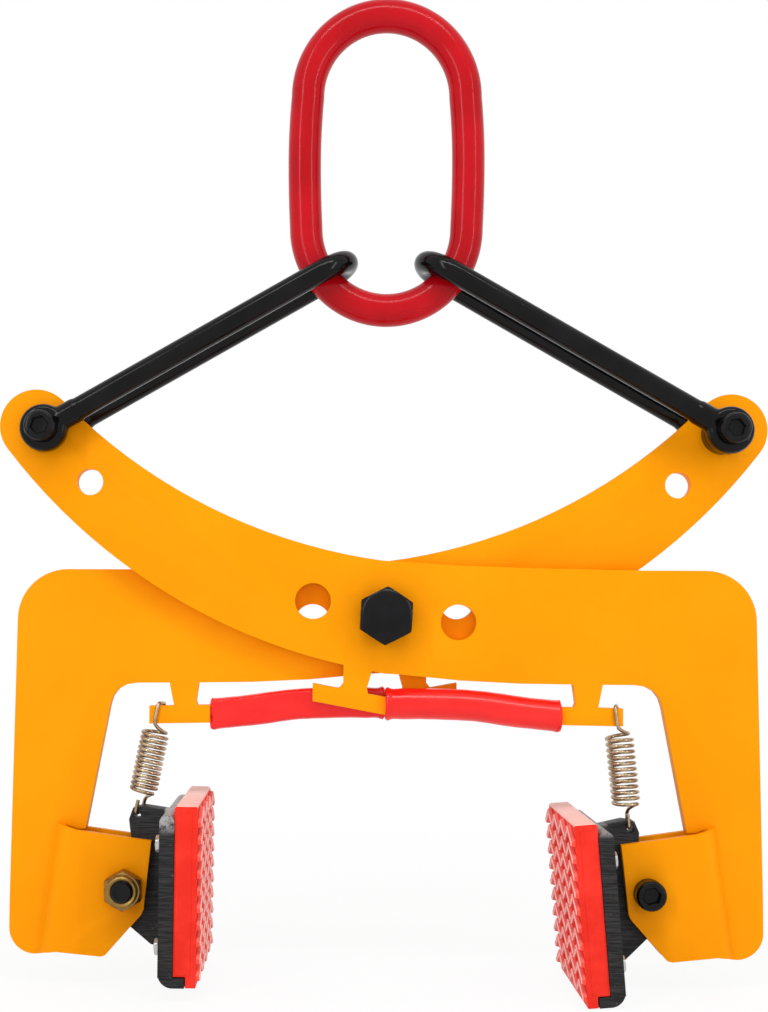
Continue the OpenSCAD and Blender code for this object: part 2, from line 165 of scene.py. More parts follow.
class Shop:
    """One material's or world's node tree."""

    def __init__(self, name, world=False):
        holder = bpy.data.worlds.new(name) if world else bpy.data.materials.new(name)
        holder.use_nodes = True
        self.holder = holder
        self.tree = holder.node_tree
        self.tree.nodes.clear()
        self.out = self.tree.nodes.new("ShaderNodeOutputWorld" if world else "ShaderNodeOutputMaterial")

    def feed(self, socket, value):
        """Sets or links one input of a node."""
        if isinstance(value, Wire):
            self.tree.links.new(value.socket, socket)
        elif isinstance(value, tuple) and len(value) == 3 and socket.type == "RGBA":
            socket.default_value = (*value, 1)
        else:
            socket.default_value = value

    def node(self, kind, settings=None, **inputs):
        """A node with its settings, and its inputs by name, or by number as i0, i1 and so on."""
        made = self.tree.nodes.new(kind)
        for key, value in (settings or {}).items():
            if key == "stops":
                while len(made.color_ramp.elements) < len(value):
                    made.color_ramp.elements.new(0.5)
                for element, (place, colour) in zip(made.color_ramp.elements, value):
                    element.position = place
                    element.color = (*colour, 1)
            else:
                setattr(made, key, value)
        for key, value in inputs.items():
            index = int(key[1:]) if key[0] == "i" and key[1:].isdigit() else key.replace("_", " ")
            self.feed(made.inputs[index], value)
        return made

    def take(self, kind, output=0, settings=None, **inputs):
        return Wire(self, self.node(kind, settings, **inputs).outputs[output])

    def math(self, operation, a, b=0.0, clamp=False):
        return self.take("ShaderNodeMath", 0, {"operation": operation, "use_clamp": clamp}, i0=a, i1=b)

    def place(self):
        return self.take("ShaderNodeTexCoord", "Object")

    def axis(self, name):
        return self.take("ShaderNodeSeparateXYZ", name, Vector=self.place())

    def stretched(self, scale):
        return self.take("ShaderNodeMapping", Vector=self.place(), Scale=scale)

    def noise(self, scale, detail=3, rough=0.5, at=None):
        return self.take("ShaderNodeTexNoise", Vector=at or self.place(), Scale=scale, Detail=detail,
                         Roughness=rough)

    def band(self, value, low, high):
        """0 below the low value and 1 above the high one, with a smooth step between them."""
        return self.take("ShaderNodeMapRange", 0, {"interpolation_type": "SMOOTHSTEP"}, Value=value,
                         From_Min=low, From_Max=high)

    def between(self, factor, a, b):
        return self.take("ShaderNodeMix", 2, {"data_type": "RGBA"}, i0=factor, i6=a, i7=b)

    def bump(self, height, strength, distance):
        return self.take("ShaderNodeBump", Height=height, Strength=strength, Distance=distance)

    def seen(self):
        """1 for rays from the camera and for rays that bounce off gloss or go through glass."""
        rays = self.node("ShaderNodeLightPath")
        glossy = self.math("MAXIMUM", Wire(self, rays.outputs["Is Glossy Ray"]),
                           Wire(self, rays.outputs["Is Transmission Ray"]))
        return self.math("MAXIMUM", Wire(self, rays.outputs["Is Camera Ray"]), glossy)

    def blend_of(self, factor, first, second):
        """Ends the tree with a mix of two shader nodes."""
        mix = self.node("ShaderNodeMixShader", i0=factor)
        self.tree.links.new(first.outputs[0], mix.inputs[1])
        self.tree.links.new(second.outputs[0], mix.inputs[2])
        self.tree.links.new(mix.outputs[0], self.out.inputs[0])

    def paint(self, colour, roughness, normal, metallic=0.0, specular=0.5):
        """Ends the tree with one finish, and gives the material."""
        body = self.node("ShaderNodeBsdfPrincipled", Base_Color=colour, Roughness=roughness, Normal=normal,
                         Metallic=metallic, Specular_IOR_Level=specular)
        self.tree.links.new(body.outputs[0], self.out.inputs[0])
        return self.holder


def arm_powder_coat():
    """Orange powder coat, slightly mottled, with fine specks."""
    shop = Shop("arm_powder_coat")
    mottle = shop.noise(16, 4, 0.55)
    peel = shop.noise(850, 2)
    speck = shop.band(shop.noise(420, 5, 0.7), 0.66, 0.80)
    colour = shop.between(shop.band(mottle, 0.3, 0.7), (0.930, 0.312, 0.0008), (0.975, 0.334, 0.0016))
    colour = shop.between(speck * 0.16, colour, (0.74, 0.24, 0.008))
    rough = 0.40 + shop.band(mottle, 0.35, 0.7) * 0.08
    return shop.paint(colour, rough, shop.bump(peel + mottle * 2.0, 0.10, 0.3 * MM), specular=0.05)


def link_lacquer():
    """Red lacquer over the forged link's soft swells."""
    shop = Shop("link_lacquer")
    swell = shop.noise(30, 2)
    peel = shop.noise(300, 2)
    fleck = shop.band(shop.noise(600, 4, 0.7), 0.68, 0.8)
    colour = shop.between(shop.band(swell, 0.3, 0.7), (0.430, 0.0015, 0.0055), (0.530, 0.003, 0.010))
    colour = shop.between(fleck * 0.3, colour, (0.30, 0.002, 0.006))
    return shop.paint(colour, 0.14 + shop.band(swell, 0.3, 0.8) * 0.08,
                      shop.bump(swell * 1.4 + peel * 0.08, 0.16, 1.0 * MM), specular=0.15)


def shackle_enamel():
    """Black enamel on forged bar, chipped where the bow rubs in the link."""
    shop = Shop("shackle_enamel")
    swell = shop.noise(45)
    grit = shop.noise(620, 3, 0.6)
    near_link = shop.band(shop.axis("Z"), -128 * MM, -110 * MM)
    chip = shop.band(shop.noise(210, 5, 0.7), 0.56, 0.68) * near_link
    colour = shop.between(shop.band(swell, 0.35, 0.7), (0.0010, 0.0010, 0.0014), (0.0040, 0.0038, 0.0048))
    colour = shop.between(chip * 0.7, colour, (0.10, 0.10, 0.105))
    return shop.paint(colour, 0.11 + shop.band(grit, 0.35, 0.75) * 0.08,
                      shop.bump(swell + grit * 0.06, 0.20, 0.9 * MM), specular=0.17)


def black_oxide():
    """Oiled black finish of the screws, spacers and main bolt."""
    shop = Shop("black_oxide")
    grain = shop.noise(1200, 3, 0.6)
    blotch = shop.noise(90)
    colour = shop.between(shop.band(blotch, 0.35, 0.7), (0.0018, 0.0016, 0.0022), (0.0055, 0.0052, 0.0065))
    return shop.paint(colour, 0.17 + shop.band(grain, 0.3, 0.7) * 0.10, shop.bump(grain, 0.08, 0.2 * MM),
                      specular=0.18)


def carrier_scale():
    """Sawn and painted black steel, grey in patches along its top band and in random scrapes."""
    shop = Shop("carrier_scale")
    cuts = shop.noise(75, 4, 0.6, shop.stretched((1, 1, 22)))
    blotch = shop.noise(130, 5, 0.65)
    speck = shop.noise(520, 4, 0.7)
    top = shop.band(shop.axis("Z"), PIVOT_Z - 112.5 * MM, PIVOT_Z - 106.5 * MM)
    plate = 1 - shop.band(shop.math("ABSOLUTE", shop.axis("X")), 116.5 * MM, 118 * MM)
    # Grey patches in a band along the carrier's top.
    top_grey = shop.math("MULTIPLY", top * plate, shop.band(blotch + speck * 0.5, 0.46, 0.78), True)
    scrape = shop.band(shop.noise(300, 6, 0.75), 0.62, 0.76) * 0.30
    rust = shop.band(shop.noise(48, 4, 0.6), 0.58, 0.72) * 0.55
    grey_share = shop.math("MAXIMUM", top_grey, scrape)
    dark = shop.between(shop.band(cuts, 0.40, 0.62), (0.0085, 0.0085, 0.0095), (0.034, 0.033, 0.034))
    dark = shop.between(rust, dark, (0.030, 0.022, 0.014))
    colour = shop.between(grey_share, dark, (0.36, 0.35, 0.35))
    height = cuts * 0.7 + blotch * 0.3 - top_grey * 0.3
    return shop.paint(colour, 0.50 - grey_share * 0.14, shop.bump(height, 0.45, 0.5 * MM), specular=0.16)


def pad_rubber():
    """Red moulded rubber, with a painted pale sheen where the mesh marks it: painted highlights on its top
    and rib crests.
    """
    shop = Shop("pad_rubber")
    blotch = shop.noise(55, 4, 0.6)
    streak = shop.noise(60, at=shop.stretched((6, 1, 0.5)))
    grain = shop.noise(800, 2)
    # Painted sheen: a pale mask that stands in for highlights on the pad's top and rib crests.
    rubbed = shop.take("ShaderNodeAttribute", "Fac", {"attribute_name": "rubbed"})
    colour = shop.between(shop.band(blotch, 0.35, 0.7), (0.80, 0.026, 0.014), (0.94, 0.042, 0.025))
    colour = shop.between(shop.band(streak, 0.5, 0.75) * 0.35, colour, (0.70, 0.030, 0.020))
    # Painted highlight: pale pink where the painted sheen mask is set.
    colour = shop.between(rubbed * (0.82 + shop.band(blotch, 0.3, 0.7) * 0.16), colour, (0.98, 0.60, 0.53))
    return shop.paint(colour, 0.34 + shop.band(blotch, 0.3, 0.7) * 0.1,
                      shop.bump(grain + blotch, 0.10, 0.4 * MM), specular=0.10)


def grip_vinyl():
    """Glossy red vinyl of the dipped sleeves."""
    shop = Shop("grip_vinyl")
    ripple = shop.noise(60, at=shop.stretched((0.6, 1, 1)))
    colour = shop.between(shop.band(ripple, 0.35, 0.7), (0.84, 0.005, 0.004), (0.94, 0.014, 0.010))
    return shop.paint(colour, 0.17 + shop.band(ripple, 0.3, 0.7) * 0.06, shop.bump(ripple, 0.12, 1.0 * MM),
                      specular=0.40)


def yellow_passivate():
    """Yellow-brown passivated zinc of the lock nuts."""
    shop = Shop("yellow_passivate")
    tint = shop.noise(190, 3, 0.6)
    grain = shop.noise(1400, 2)
    stops = [(0.30, (0.20, 0.100, 0.020)), (0.50, (0.31, 0.185, 0.052)), (0.70, (0.24, 0.135, 0.032))]
    colour = shop.take("ShaderNodeValToRGB", 0, {"stops": stops}, Fac=tint)
    return shop.paint(colour, 0.27 + shop.band(tint, 0.3, 0.7) * 0.12, shop.bump(grain, 0.08, 0.2 * MM),
                      metallic=0.9)


def bright_zinc():
    """Bright zinc with small spangles, on washers and stud nuts."""
    shop = Shop("bright_zinc")
    spangle = shop.take("ShaderNodeTexVoronoi", Vector=shop.place(), Scale=900.0)
    colour = shop.between(shop.band(spangle, 0.0, 0.8), (0.42, 0.42, 0.42), (0.62, 0.62, 0.61))
    return shop.paint(colour, 0.30 + spangle * 0.12, shop.bump(spangle, 0.06, 0.2 * MM), metallic=0.9)


def spring_wire_finish():
    """Drawn spring wire, passivated warm."""
    shop = Shop("spring_wire_finish")
    tint = shop.noise(120, 3, 0.6)
    drawn = shop.noise(900, 2)
    colour = shop.between(shop.band(tint, 0.35, 0.7), (0.34, 0.235, 0.135), (0.60, 0.50, 0.36))
    return shop.paint(colour, 0.20 + shop.band(tint, 0.3, 0.8) * 0.08, shop.bump(drawn, 0.08, 0.2 * MM),
                      metallic=0.92)


ARM = arm_powder_coat()
LINK = link_lacquer()
SHACKLE = shackle_enamel()
OXIDE = black_oxide()
CARRIER = carrier_scale()
PAD = pad_rubber()
GRIP = grip_vinyl()
PASSIVATE = yellow_passivate()
ZINC = bright_zinc()
SPRING = spring_wire_finish()


def body_of_node(name):
    return next(b for b, nodes in frame["record"]["behaviour"]["bodies"].items() if name in nodes)


def slot_of_node(name):
    return next(s["material_slot"] for s in frame["record"]["subparts"] if s["node"] == name)


# Making and placing pieces

def new_object(name, mesh):
    obj = bpy.data.objects.new(name, mesh)
    bpy.context.scene.collection.objects.link(obj)
    return obj


def object_of(name, bm):
    """A bmesh as a new object."""
    mesh = bpy.data.meshes.new(name)
    bm.to_mesh(mesh)
    bm.free()
    return new_object(name, mesh)


def settle(obj, finish, *nodes, replaced=True):
    """Gives a piece its finish and the body of its first node, and looks up that node's slot without setting
    it. A weld only rides with its node.
    """
    obj.data.name = obj.name
    obj.data.materials.clear()
    obj.data.materials.append(finish)
    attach(obj, body_of_node(nodes[0]))
    slot_of_node(nodes[0])
    if replaced:
        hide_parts(*nodes)


def plain_copy(obj):
    """The evaluated mesh of an object as a new object with no modifiers."""
    depsgraph = bpy.context.evaluated_depsgraph_get()
    mesh = bpy.data.meshes.new_from_object(obj.evaluated_get(depsgraph))
    name = obj.name
    bpy.data.objects.remove(obj)
    return new_object(name, mesh)


def joined(name, *objects):
    """Several plain meshes as one."""
    bm = bmesh.new()
    for obj in objects:
        bm.from_mesh(obj.data)
        bpy.data.objects.remove(obj)
    return object_of(name, bm)


def shade_by_angle(mesh, degrees):
    """Smooth faces, with creases kept past the given angle."""
    bm = bmesh.new()
    bm.from_mesh(mesh)
    for face in bm.faces:
        face.smooth = True
    for edge in bm.edges:
        edge.smooth = len(edge.link_faces) == 2 and edge.calc_face_angle(0) < math.radians(degrees)
    bm.to_mesh(mesh)
    bm.free()


def finished(name, bm, degrees=35):
    """A closed shape as an object: faces outwards, creases kept past the given angle."""
    bmesh.ops.recalc_face_normals(bm, faces=bm.faces)
    obj = object_of(name, bm)
    shade_by_angle(obj.data, degrees)
    return obj


def outward(obj, degrees=50):
    """Doubles merged, faces turned outwards, and shading set."""
    bm = bmesh.new()
    bm.from_mesh(obj.data)
    bmesh.ops.remove_doubles(bm, verts=bm.verts, dist=1e-7)
    bmesh.ops.recalc_face_normals(bm, faces=bm.faces)
    bm.to_mesh(obj.data)
    bm.free()
    shade_by_angle(obj.data, degrees)
    return obj


def merged_nodes(*nodes):
    """CAD nodes copied into one mesh, with doubles merged and flat faces made whole."""
    bm = bmesh.new()
    for node in nodes:
        bm.from_mesh(frame["nodes"][node].data)
    bmesh.ops.remove_doubles(bm, verts=bm.verts, dist=1e-6)
    bmesh.ops.dissolve_limit(bm, angle_limit=math.radians(0.6), verts=bm.verts, edges=bm.edges)
    return bm


def broken_edges(name, bm, width, segments=2, kept=None):
    """Breaks a mesh's sharp edges with a small round. Edges that kept() picks stay as they are."""
    weight = bm.edges.layers.float.new("bevel_weight_edge")
    for edge in bm.edges:
        angle = edge.calc_face_angle(0) if len(edge.link_faces) == 2 else 0
        if angle > SHARP_EDGE and not (kept and kept(edge)):
            edge[weight] = 1
    work = object_of(name, bm)
    bevel = work.modifiers.new("edges", "BEVEL")
    bevel.width = width
    bevel.segments = segments
    bevel.limit_method = "WEIGHT"
    bevel.use_clamp_overlap = True
    made = plain_copy(work)
    shade_by_angle(made.data, 38)
    return made


def point_line(name, points, closed=False):
    """Points joined by edges, for a Geometry Nodes tree to sweep along."""
    mesh = bpy.data.meshes.new(name)
    edges = [(i, i + 1) for i in range(len(points) - 1)]
    if closed:
        edges.append((len(points) - 1, 0))
    mesh.from_pydata([tuple(p) for p in points], edges, [])
    return new_object(name, mesh)


# Geometry Nodes

def node_tree(name, inputs):
    """An empty tree with a geometry input and output and the named number inputs."""
    tree = bpy.data.node_groups.new(name, "GeometryNodeTree")
    tree.interface.new_socket("Geometry", in_out="INPUT", socket_type="NodeSocketGeometry")
    for label, kind, value in inputs:
        tree.interface.new_socket(label, in_out="INPUT", socket_type=kind).default_value = value
    tree.interface.new_socket("Geometry", in_out="OUTPUT", socket_type="NodeSocketGeometry")
    return tree, tree.nodes.new("NodeGroupInput")


def math_node(tree, operation, *values):
    """A math node of a tree, with each input set or linked, as its output."""
    node = tree.nodes.new("ShaderNodeMath")
    node.operation = operation
    for socket, value in zip(node.inputs, values):
        if isinstance(value, bpy.types.NodeSocket):
            tree.links.new(value, socket)
        else:
            socket.default_value = value
    return node.outputs[0]


def finish_tree(tree, source, finish):
    """Ends a tree with Realize Instances and Set Material."""
    realize = tree.nodes.new("GeometryNodeRealizeInstances")
    coat = tree.nodes.new("GeometryNodeSetMaterial")
    coat.inputs["Material"].default_value = finish
    out = tree.nodes.new("NodeGroupOutput")
    tree.links.new(source, realize.inputs[0])
    tree.links.new(realize.outputs[0], coat.inputs[0])
    tree.links.new(coat.outputs[0], out.inputs[0])
    return tree


def grown(obj, tree, **values):
    """Runs a tree on an object with its named inputs set, and keeps the result as a plain mesh."""
    modifier = obj.modifiers.new(tree.name, "NODES")
    modifier.node_group = tree
    for item in tree.interface.items_tree:
        label = item.name.replace(" ", "_").lower()
        if item.in_out == "INPUT" and label in values:
            modifier[item.identifier] = values[label]
    return plain_copy(obj)


def round_bar_tree(finish):
    """A line of points swept with a round section, whose size may swell along it like a weld."""
    tree, start = node_tree("round_bar", [
        ("Bar Diameter", "NodeSocketFloat", SPRING_WIRE), ("Section Points", "NodeSocketInt", 16),
        ("Swell", "NodeSocketFloat", 0.0), ("Swell Pitch", "NodeSocketFloat", 2 * MM)])
    curve = tree.nodes.new("GeometryNodeMeshToCurve")
    section = tree.nodes.new("GeometryNodeCurvePrimitiveCircle")
    along = tree.nodes.new("GeometryNodeSplineParameter")
    sweep = tree.nodes.new("GeometryNodeCurveToMesh")
    sweep.inputs["Fill Caps"].default_value = True
    turns = math_node(tree, "DIVIDE", along.outputs["Length"], start.outputs["Swell Pitch"])
    wave = math_node(tree, "SINE", math_node(tree, "MULTIPLY", turns, 2 * math.pi))
    size = math_node(tree, "MULTIPLY_ADD", wave, start.outputs["Swell"], 1)
    link = tree.links.new
    link(start.outputs["Geometry"], curve.inputs[0])
    link(math_node(tree, "MULTIPLY", start.outputs["Bar Diameter"], 0.5), section.inputs["Radius"])
    link(start.outputs["Section Points"], section.inputs["Resolution"])
    link(curve.outputs[0], sweep.inputs["Curve"])
    link(section.outputs[0], sweep.inputs["Profile Curve"])
    link(size, sweep.inputs["Scale"])
    return finish_tree(tree, sweep.outputs[0], finish)


def row_tree(finish):
    """Copies of one shape in a straight row."""
    tree, start = node_tree("rib_row", [
        ("Count", "NodeSocketInt", RIB_COUNT), ("Step", "NodeSocketVector", (0, 0, -RIB_STEP))])
    row = tree.nodes.new("GeometryNodeMeshLine")
    place = tree.nodes.new("GeometryNodeInstanceOnPoints")
    link = tree.links.new
    link(start.outputs["Count"], row.inputs["Count"])
    link(start.outputs["Step"], row.inputs["Offset"])
    link(row.outputs[0], place.inputs["Points"])
    link(start.outputs["Geometry"], place.inputs["Instance"])
    return finish_tree(tree, place.outputs[0], finish)


def corners_tree(finish):
    """Copies of one shape at the four corners of a rectangle."""
    tree, start = node_tree("corner_fasteners", [
        ("Across", "NodeSocketFloat", 2 * STUD_Y), ("Up", "NodeSocketFloat", STUD_HIGH - STUD_LOW)])
    grid = tree.nodes.new("GeometryNodeMeshGrid")
    grid.inputs["Vertices X"].default_value = 2
    grid.inputs["Vertices Y"].default_value = 2
    place = tree.nodes.new("GeometryNodeInstanceOnPoints")
    link = tree.links.new
    link(start.outputs["Up"], grid.inputs["Size X"])
    link(start.outputs["Across"], grid.inputs["Size Y"])
    link(grid.outputs[0], place.inputs["Points"])
    link(start.outputs["Geometry"], place.inputs["Instance"])
    return finish_tree(tree, place.outputs[0], finish)


# Turned pieces: bolts, nuts and washers

def hexagon(flats, limit=1.0):
    """Radius of a hexagon at an angle, no more than the limit where its corners are turned back."""
    def radius(angle, y):
        away = angle % (math.pi / 3) - math.pi / 6
        return min(flats / 2 / math.cos(away), limit)
    return radius


def knurl(outer, depth, teeth):
    """Radius of a rim with straight grooves along its axis."""
    def radius(angle, y):
        return outer - depth * abs(math.sin(angle * teeth / 2))
    return radius


def thread(outer, pitch):
    """Radius of a thread, whose ridge runs once round for each pitch along Y."""
    depth = 0.55 * pitch

    def radius(angle, y):
        turn = (y / pitch + angle / (2 * math.pi)) % 1
        return outer - depth * (1 - abs(2 * turn - 1))
    return radius


def thread_rows(outer, pitch, y0, y1):
    """Rows of a threaded length, six to a pitch."""
    steps = max(4, round((y1 - y0) / pitch * 6))
    ridge = thread(outer, pitch)
    return [(y0 + (y1 - y0) * i / steps, ridge) for i in range(steps + 1)]


def skin(bm, low, high):
    """Faces between two rows of vertices. A row of one vertex is a point on the piece's axis."""
    points = max(len(low), len(high))
    for i in range(points):
        j = (i + 1) % points
        if len(low) == 1:
            bm.faces.new((low[0], high[i], high[j]))
        elif len(high) == 1:
            bm.faces.new((low[i], low[j], high[0]))
        else:
            bm.faces.new((low[i], low[j], high[j], high[i]))


def turned(name, rows, x, z, points=48, start=0.0, ring=False):
    """A piece turned about a line along Y from rows of (y, radius). A ring's last row joins its first."""
    bm = bmesh.new()
    made = []
    for y, radius in rows:
        if radius == 0:
            made.append([bm.verts.new((x, y, z))])
            continue
        row = []
        for i in range(points):
            angle = 2 * math.pi * i / points
            r = radius(angle, y) if callable(radius) else radius
            row.append(bm.verts.new((x + r * math.cos(angle + start), y, z + r * math.sin(angle + start))))
        made.append(row)
    for low, high in zip(made, made[1:]):
        skin(bm, low, high)
    if ring:
        skin(bm, made[-1], made[0])
    return finished(name, bm)


def socket_screw(name, node, d, pitch, x, z, y_head, nut_end, y_end):
    """Socket head screw: hexagon socket, turned and knurled head, plain shank, threaded end."""
    shank_r = d / 2
    head_r = SCREW_HEAD_R
    rim_r = head_r - 0.05 * MM
    grooves = knurl(head_r, 0.22 * MM, 36)
    top = y_head - SCREW_HEAD_HIGH
    rows = [(top + 5.6 * MM, 0), (top + 5 * MM, hexagon(7.9 * MM)),
            (top + 0.5 * MM, hexagon(8 * MM)), (top, hexagon(8.9 * MM))]
    rows += [(top, head_r - 1.25 * MM), (top + 0.25 * MM, head_r - 0.75 * MM),
             (top + 1.1 * MM, head_r - 0.1 * MM), (top + 1.5 * MM, rim_r),
             (top + 1.8 * MM, grooves), (y_head - 1.6 * MM, grooves),
             (y_head - 1.2 * MM, rim_r), (y_head - 0.3 * MM, rim_r), (y_head, head_r - 0.4 * MM)]
    rows += [(y_head, shank_r), (nut_end - 1.2 * MM, shank_r)]
    rows += thread_rows(shank_r, pitch, nut_end - 1 * MM, y_end - 1 * MM)
    rows += [(y_end, shank_r - 1.15 * MM), (y_end, 0)]
    made = turned(name, rows, x, z, 144, math.radians(12))
    settle(made, OXIDE, node)
    return made


def lock_nut(name, node, d, x, z, y0):
    """Hexagon nut with corners turned back and the rolled collar that holds its insert."""
    flats = (19 if d > 11 * MM else 17) * MM  # M12 or M10
    bore = d / 2 + 0.05 * MM
    collar = flats * 0.44
    low, middle, full = (hexagon(flats, share * flats) for share in (0.515, 0.545, 0.575))
    rows = [(y0, bore), (y0, 0.46 * flats), (y0 + 0.5 * MM, low), (y0 + 1.0 * MM, middle),
            (y0 + 1.6 * MM, full)]
    hex_end = y0 + 0.8 * d
    rows += [(hex_end - 1.7 * MM, full), (hex_end - 1.1 * MM, middle), (hex_end - 0.5 * MM, low),
             (hex_end, 0.485 * flats), (hex_end, collar)]
    end = y0 + d
    rows += [(end - 1.1 * MM, collar), (end - 0.4 * MM, collar - 0.3 * MM), (end, collar - 1.0 * MM),
             (end - 0.1 * MM, collar - 1.5 * MM), (end - 0.5 * MM, bore)]
    made = turned(name, rows, x, z, 96, math.radians(30), ring=True)
    settle(made, PASSIVATE, node)
    return made


def screw_and_nut(piece, node, d, pitch, x, z, front, back, reach):
    """A socket screw with its head on the front face, and its lock nut on the back face."""
    nut_start = back + SEAT_GAP
    screw = socket_screw(piece + "_screw", node + "_bolt", d, pitch, x, z, front - SEAT_GAP,
                         nut_start + d, back + reach)
    nut = lock_nut(piece + "_lock_nut", node + "_nut", d, x, z, nut_start)
    return screw, nut


def shackle_fasteners():
    """A screw and lock nut through each shackle and its arm's end."""
    face = SHACKLE_Y + SHACKLE_BAR / 2
    for side, x in (("left", ARM_END.x), ("right", -ARM_END.x)):
        shackle = side + "_shackle"
        screw_and_nut(shackle, shackle, 10 * MM, 1.5 * MM, x, ARM_END.z, -face, face, 13 * MM)


def jaw_fasteners():
    """The right jaw's screw has its head at the front, the left one's at the back."""
    face = CHEEK_GAP / 2 + CHEEK_T
    z = PIVOT_Z + JAW_PIN.z
    for side in ("right", "left"):
        pair = screw_and_nut(side + "_jaw", side + "_pad", 12 * MM, 1.75 * MM, JAW_PIN.x, z,
                             ARM_Y - face, ARM_Y + face, 13.1 * MM)
        if side == "left":
            for made in pair:
                made.data.transform(HALF_TURN)


def pivot_bolt():
    """Main bolt: hexagon head with corners turned back, shank through both arms, threaded end."""
    head = -23.9 * MM
    head_end = -12.5 * MM
    shoulder = -12.1 * MM
    shoulder_r = 12.6 * MM
    shank_end = 12.3 * MM
    shank_r = 9.45 * MM
    thread_r = 9 * MM
    low, middle, full = (hexagon(PIVOT_FLATS, corner * MM) for corner in (13.9, 14.7, 15.45))
    rows = [(head, 0), (head, 12.2 * MM), (head + 0.3 * MM, 12.9 * MM), (head + 0.7 * MM, low),
            (head + 1.3 * MM, middle), (head + 2.1 * MM, full), (head_end, full),
            (head_end, shoulder_r), (shoulder, shoulder_r), (shoulder, shank_r), (shank_end, shank_r),
            (shank_end, thread_r), (27 * MM, thread_r)]
    rows += thread_rows(thread_r, 2.5 * MM, 27.2 * MM, 31 * MM)
    rows += [(32 * MM, 7.9 * MM), (32 * MM, 0)]
    made = turned("pivot_bolt_turned", rows, 0, PIVOT_Z, 96, math.radians(27))
    settle(made, OXIDE, "pivot_bolt")


def pivot_nut():
    """Main lock nut, with its rolled collar."""
    start = 12.5 * MM
    bore = 9.05 * MM
    collar = 12 * MM
    low, full = (hexagon(PIVOT_FLATS, corner * MM) for corner in (14.3, 15.45))
    rows = [(start, bore), (start, 12.6 * MM), (start + 0.8 * MM, low), (start + 2 * MM, full),
            (22.6 * MM, full), (23.7 * MM, low), (24.5 * MM, 13 * MM), (24.5 * MM, collar),
            (27.2 * MM, collar), (28.2 * MM, 11.4 * MM), (28.5 * MM, 10.4 * MM), (27.9 * MM, bore)]
    made = turned("pivot_nut_turned", rows, 0, PIVOT_Z, 96, math.radians(5), ring=True)
    settle(made, PASSIVATE, "pivot_nut")


def pivot_ring(name, node, outer, y0, y1, finish, edge=0.35 * MM):
    """A washer on the main bolt, with its rims broken."""
    inner = PIVOT_WASHER_BORE
    half = edge / 2
    rows = [(y0, inner + half), (y0, outer - edge), (y0 + edge, outer), (y1 - edge, outer),
            (y1, outer - edge), (y1, inner + half), (y1 - half, inner), (y0 + half, inner)]
    settle(turned(name, rows, 0, PIVOT_Z, 72, ring=True), finish, node)


def pivot_set():
    """Main pivot: hexagon bolt, lock nut, and washers outside and between the arms."""
    pivot_bolt()
    pivot_nut()
    pivot_ring("pivot_front_ring", "pivot_washer_front", 13 * MM, -12 * MM, -9 * MM, OXIDE)
    pivot_ring("pivot_back_ring", "pivot_washer_back", 13 * MM, 9.1 * MM, 12.1 * MM, ZINC)
    pivot_ring("arm_ring", "arm_washer", 21 * MM, -0.6 * MM, 0.4 * MM, ZINC, 0.2 * MM)


def spacers():
    """The spacers that keep each arm in the middle of its shackle, with their edges broken."""
    for side in ("left", "right"):
        for kind in ("long", "short"):
            node = side + "_spacer_" + kind
            made = broken_edges(node + "_turned", merged_nodes(node), 0.3 * MM)
            settle(made, OXIDE, node)


# Link, shackles and arms

def hanging_link(tree):
    """Oval link swept with a round bar: two half turns, drawn in a little, and the sides between them."""
    r = (LINK_WIDTH + LINK_BAR) / 2
    high = LINK_LOW + LINK_LENGTH - LINK_WIDTH
    middle = (LINK_LOW + high) / 2
    turn_steps = 64
    side_steps = 12
    points = []
    for centre, next_centre, begin in ((high, LINK_LOW, 0), (LINK_LOW, high, math.pi)):
        for i in range(turn_steps + 1):
            angle = begin + math.pi * i / turn_steps
            points.append(Vector((r * math.cos(angle), 0, centre + r * math.sin(angle))))
        end = points[-1]
        for i in range(1, side_steps):
            points.append(end + Vector((0, 0, (next_centre - centre) * i / side_steps)))
    for p in points:
        taper = LINK_TAPER_HIGH if p.z > middle else LINK_TAPER_LOW
        away = min(abs(p.z - middle) / (high - middle), 1.0)
        p.x *= 1 - taper / r * away ** 2
    made = grown(point_line("oval_link", points, True), tree, bar_diameter=LINK_BAR, section_points=40)
    settle(outward(made), LINK, "master_link")


def shackle_path(run):
    """A shackle's bar from its front eye round the bow to its back eye, with the screw's line at X = 0."""
    legs = 40
    turn_steps = 36
    begin = 3 * MM
    bow = run - SHACKLE_Y
    path = [Vector((begin + (bow - begin) * i / legs, -SHACKLE_Y, 0)) for i in range(legs)]
    for i in range(turn_steps + 1):
        angle = math.pi * i / turn_steps
        path.append(Vector((bow + SHACKLE_Y * math.sin(angle), -SHACKLE_Y * math.cos(angle), 0)))
    return path + [Vector((p.x, SHACKLE_Y, 0)) for p in path[legs - 1::-1]]


def shackle_eye(y):
    """One eye of a shackle, turned about the screw's line, with rounded rims."""
    half = SHACKLE_BAR / 2
    bore = 5.1 * MM
    rim = 3 * MM
    nick = 0.9 * MM
    r = SHACKLE_EYE_R
    rows = [(y - half, bore), (y - half, r - rim), (y - half + nick, r - nick), (y - half + rim, r),
            (y + half - rim, r), (y + half - nick, r - nick), (y + half, r - rim), (y + half, bore)]
    return turned("eye", rows, 0, 0, 64, ring=True)


def shackle_neck(y, tree):
    """The thicker end of a shackle's bar, where it runs into its eye."""
    line = [Vector((x * MM, y, 0)) for x in (9, 13, 20)]
    return grown(point_line("neck", line), tree, bar_diameter=13.2 * MM, section_points=24)


